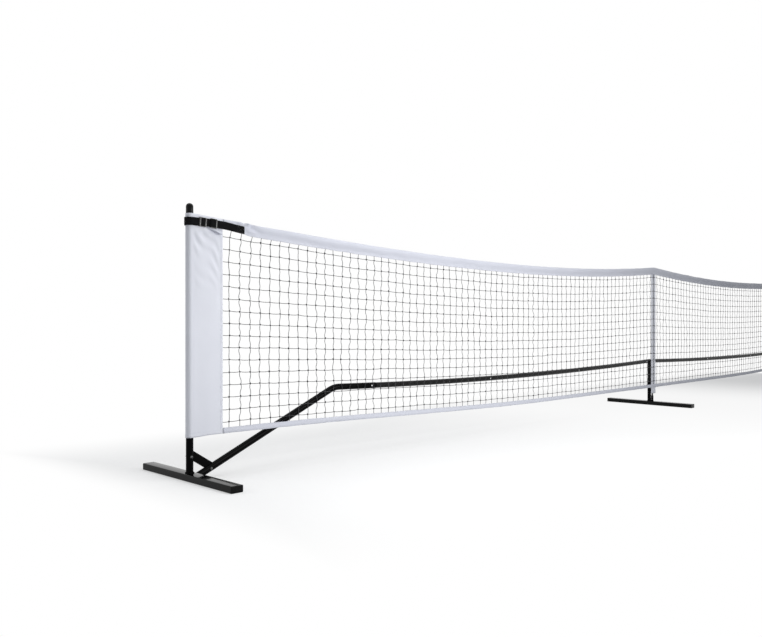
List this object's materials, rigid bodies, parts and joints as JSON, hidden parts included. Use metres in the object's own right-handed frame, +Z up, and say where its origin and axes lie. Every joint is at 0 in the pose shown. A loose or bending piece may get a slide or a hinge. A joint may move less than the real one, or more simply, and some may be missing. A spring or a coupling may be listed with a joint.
{
  "type": "portable net",
  "caption": "Free-standing portable court net: tube frame on three feet, knotted mesh with white edge bands, sleeved ends, buckled tension straps and a centre rod.",
  "frame": {"origin": "on the floor at the centre of the net, between the two posts", "axes": "+X along the net to the right-hand post, +Y away from the side that the net hangs on, +Z up"},
  "size_m": [6.752, 0.568, 0.9493],
  "materials": {
    "powder_coat": "gloss black powder coat",
    "black_plastic": "moulded black plastic",
    "zinc_steel": "zinc plated",
    "rod_fibreglass": "black glass-fibre rod",
    "black_rubber": "matt black rubber",
    "net_twine": "knotted black twine",
    "white_cloth": "white coated cloth",
    "black_webbing": "woven black webbing"
  },
  "bodies": {
    "frame": {"foot_left": "powder_coat", "foot_cap_left_front": "black_plastic", "foot_cap_left_back": "black_plastic", "foot_centre": "powder_coat", "foot_cap_centre_front": "black_plastic", "foot_cap_centre_back": "black_plastic", "foot_right": "powder_coat", "foot_cap_right_front": "black_plastic", "foot_cap_right_back": "black_plastic", "post_lower_left": "powder_coat", "post_lower_right": "powder_coat", "post_upper_left": "powder_coat", "post_upper_right": "powder_coat", "post_cap_left": "black_plastic", "post_cap_right": "black_plastic", "strut_left": "powder_coat", "strut_right": "powder_coat", "brace_left": "powder_coat", "brace_right": "powder_coat", "brace_bolt_post_left": "zinc_steel", "brace_bolt_post_right": "zinc_steel", "brace_nut_post_left": "zinc_steel", "brace_nut_post_right": "zinc_steel", "brace_bolt_strut_left": "zinc_steel", "brace_bolt_strut_right": "zinc_steel", "brace_nut_strut_left": "zinc_steel", "brace_nut_strut_right": "zinc_steel", "rail_1_left": "powder_coat", "rail_1_right": "powder_coat", "rail_2_left": "powder_coat", "rail_2_right": "powder_coat", "rail_3_left": "powder_coat", "rail_3_right": "powder_coat", "centre_tee": "powder_coat", "centre_stub": "powder_coat", "rod_socket": "powder_coat", "centre_rod": "rod_fibreglass", "rod_tip": "black_rubber", "net_mesh": "net_twine", "top_band": "white_cloth", "bottom_band": "white_cloth", "side_sleeve_left": "white_cloth", "side_sleeve_right": "white_cloth", "centre_sleeve": "white_cloth", "tension_strap_left": "black_webbing", "tension_strap_right": "black_webbing"},
    "snap_button_rail_1_left": {"snap_button_rail_1_left": "zinc_steel"},
    "snap_button_rail_1_right": {"snap_button_rail_1_right": "zinc_steel"},
    "snap_button_rail_2_left": {"snap_button_rail_2_left": "zinc_steel"},
    "snap_button_rail_2_right": {"snap_button_rail_2_right": "zinc_steel"},
    "snap_button_rail_3_left": {"snap_button_rail_3_left": "zinc_steel"},
    "snap_button_rail_3_right": {"snap_button_rail_3_right": "zinc_steel"},
    "snap_button_rail_4_left": {"snap_button_rail_4_left": "zinc_steel"},
    "snap_button_rail_4_right": {"snap_button_rail_4_right": "zinc_steel"},
    "snap_button_post_left": {"snap_button_post_left": "zinc_steel"},
    "snap_button_post_right": {"snap_button_post_right": "zinc_steel"},
    "strap_slider_outer_left": {"strap_slider_outer_left": "black_plastic"},
    "strap_slider_outer_right": {"strap_slider_outer_right": "black_plastic"},
    "strap_slider_inner_left": {"strap_slider_inner_left": "black_plastic"},
    "strap_slider_inner_right": {"strap_slider_inner_right": "black_plastic"}
  },
  "joints": [
    {"name": "snap_button_rail_1_left_press", "type": "slide", "parent": "frame", "child": "snap_button_rail_1_left", "axis": [0, 1, 0], "range_m": [0, 0.004], "stiffness_N_per_m": 1500, "springref_m": -0.002},
    {"name": "snap_button_rail_1_right_press", "type": "slide", "parent": "frame", "child": "snap_button_rail_1_right", "axis": [0, 1, 0], "range_m": [0, 0.004], "stiffness_N_per_m": 1500, "springref_m": -0.002},
    {"name": "snap_button_rail_2_left_press", "type": "slide", "parent": "frame", "child": "snap_button_rail_2_left", "axis": [0, 1, 0], "range_m": [0, 0.004], "stiffness_N_per_m": 1500, "springref_m": -0.002},
    {"name": "snap_button_rail_2_right_press", "type": "slide", "parent": "frame", "child": "snap_button_rail_2_right", "axis": [0, 1, 0], "range_m": [0, 0.004], "stiffness_N_per_m": 1500, "springref_m": -0.002},
    {"name": "snap_button_rail_3_left_press", "type": "slide", "parent": "frame", "child": "snap_button_rail_3_left", "axis": [0, 1, 0], "range_m": [0, 0.004], "stiffness_N_per_m": 1500, "springref_m": -0.002},
    {"name": "snap_button_rail_3_right_press", "type": "slide", "parent": "frame", "child": "snap_button_rail_3_right", "axis": [0, 1, 0], "range_m": [0, 0.004], "stiffness_N_per_m": 1500, "springref_m": -0.002},
    {"name": "snap_button_rail_4_left_press", "type": "slide", "parent": "frame", "child": "snap_button_rail_4_left", "axis": [0, 1, 0], "range_m": [0, 0.004], "stiffness_N_per_m": 1500, "springref_m": -0.002},
    {"name": "snap_button_rail_4_right_press", "type": "slide", "parent": "frame", "child": "snap_button_rail_4_right", "axis": [0, 1, 0], "range_m": [0, 0.004], "stiffness_N_per_m": 1500, "springref_m": -0.002},
    {"name": "snap_button_post_left_press", "type": "slide", "parent": "frame", "child": "snap_button_post_left", "axis": [-1, 0, 0], "range_m": [0, 0.004], "stiffness_N_per_m": 1500, "springref_m": -0.002},
    {"name": "snap_button_post_right_press", "type": "slide", "parent": "frame", "child": "snap_button_post_right", "axis": [1, 0, 0], "range_m": [0, 0.004], "stiffness_N_per_m": 1500, "springref_m": -0.002},
    {"name": "strap_slider_outer_left_slide", "type": "slide", "parent": "frame", "child": "strap_slider_outer_left", "axis": [0.9972, 0, -0.0749], "range_m": [-0.018, 0.006]},
    {"name": "strap_slider_outer_right_slide", "type": "slide", "parent": "frame", "child": "strap_slider_outer_right", "axis": [-0.9972, 0, -0.0749], "range_m": [-0.018, 0.006]},
    {"name": "strap_slider_inner_left_slide", "type": "slide", "parent": "frame", "child": "strap_slider_inner_left", "axis": [0.9972, 0, -0.0749], "range_m": [-0.007, 0.04]},
    {"name": "strap_slider_inner_right_slide", "type": "slide", "parent": "frame", "child": "strap_slider_inner_right", "axis": [-0.9972, 0, -0.0749], "range_m": [-0.007, 0.04]}
  ]
}
